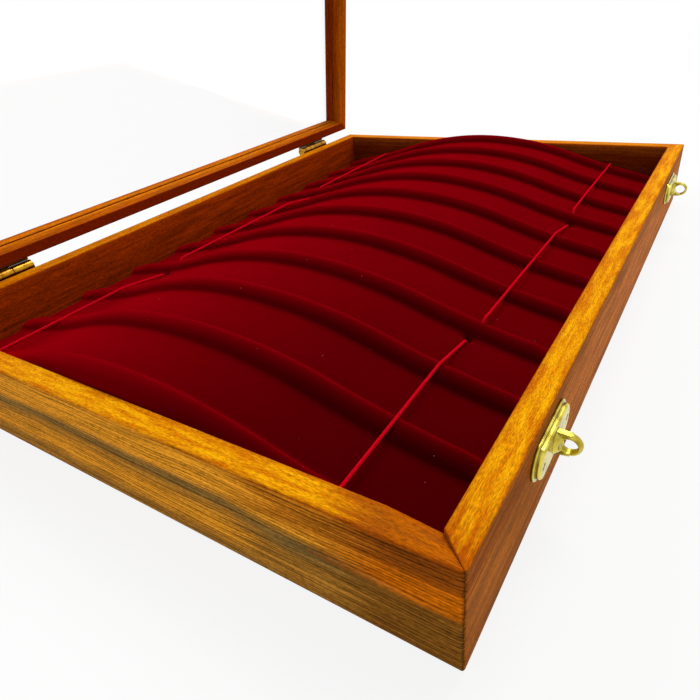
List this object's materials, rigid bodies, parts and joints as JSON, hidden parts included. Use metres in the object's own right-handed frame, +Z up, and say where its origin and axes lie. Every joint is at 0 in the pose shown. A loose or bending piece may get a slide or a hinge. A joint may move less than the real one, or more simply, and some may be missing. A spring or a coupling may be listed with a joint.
{
  "type": "lidded display case",
  "caption": "Mitred wooden display case with a domed, ribbed velvet pad, elastic retaining cords and a hinged glazed lid closed by swing hooks.",
  "frame": {"origin": "middle of the underside, on the surface that the case stands on", "axes": "+X along the length to the right as seen from the front, +Y from the front to the hinges, +Z up"},
  "size_m": [0.42, 0.3314, 0.3517],
  "materials": {
    "stained_wood_case": "oil-stained open-grained hardwood",
    "stained_wood_lid": "oil-stained open-grained hardwood",
    "plywood_base": "bare plywood",
    "velvet": "short-pile velvet over foam",
    "elastic_cord": "braided elastic",
    "polished_brass": "polished brass plate",
    "clear_glass": "clear float glass"
  },
  "bodies": {
    "case": {"front_wall": "stained_wood_case", "back_wall": "stained_wood_case", "left_wall": "stained_wood_case", "right_wall": "stained_wood_case", "base_panel": "plywood_base", "velvet_pad": "velvet", "velvet_rib_1": "velvet", "velvet_rib_2": "velvet", "velvet_rib_3": "velvet", "velvet_rib_4": "velvet", "velvet_rib_5": "velvet", "velvet_rib_6": "velvet", "velvet_rib_7": "velvet", "velvet_rib_8": "velvet", "velvet_rib_9": "velvet", "velvet_rib_10": "velvet", "velvet_rib_11": "velvet", "front_elastic": "elastic_cord", "back_elastic": "elastic_cord", "left_hinge_case_leaf": "polished_brass", "left_hinge_pin": "polished_brass", "left_eye_plate": "polished_brass", "left_eye": "polished_brass", "right_hinge_case_leaf": "polished_brass", "right_hinge_pin": "polished_brass", "right_eye_plate": "polished_brass", "right_eye": "polished_brass", "hinge_case_screws": "polished_brass", "eye_plate_screws": "polished_brass"},
    "lid": {"lid_front_rail": "stained_wood_lid", "lid_back_rail": "stained_wood_lid", "lid_left_stile": "stained_wood_lid", "lid_right_stile": "stained_wood_lid", "glass_pane": "clear_glass", "hinge_lid_screws": "polished_brass", "hook_plate_screws": "polished_brass", "left_hinge_lid_leaf": "polished_brass", "left_hook_plate": "polished_brass", "left_hook_rivet": "polished_brass", "right_hinge_lid_leaf": "polished_brass", "right_hook_plate": "polished_brass", "right_hook_rivet": "polished_brass"},
    "left_catch": {"left_hook": "polished_brass"},
    "right_catch": {"right_hook": "polished_brass"}
  },
  "joints": [
    {"name": "lid_hinge", "type": "hinge", "parent": "case", "child": "lid", "pos_m": [0, 0.1527, 0.04225], "axis": [-1, 0, 0], "range_deg": [-83, 97]},
    {"name": "left_hook_pivot", "type": "hinge", "parent": "lid", "child": "left_catch", "pos_m": [-0.141, 0.12424, 0.34171], "axis": [0, 0.1219, -0.9925], "range_deg": [0, 90]},
    {"name": "right_hook_pivot", "type": "hinge", "parent": "lid", "child": "right_catch", "pos_m": [0.141, 0.12424, 0.34171], "axis": [0, -0.1219, 0.9925], "range_deg": [0, 90]}
  ]
}
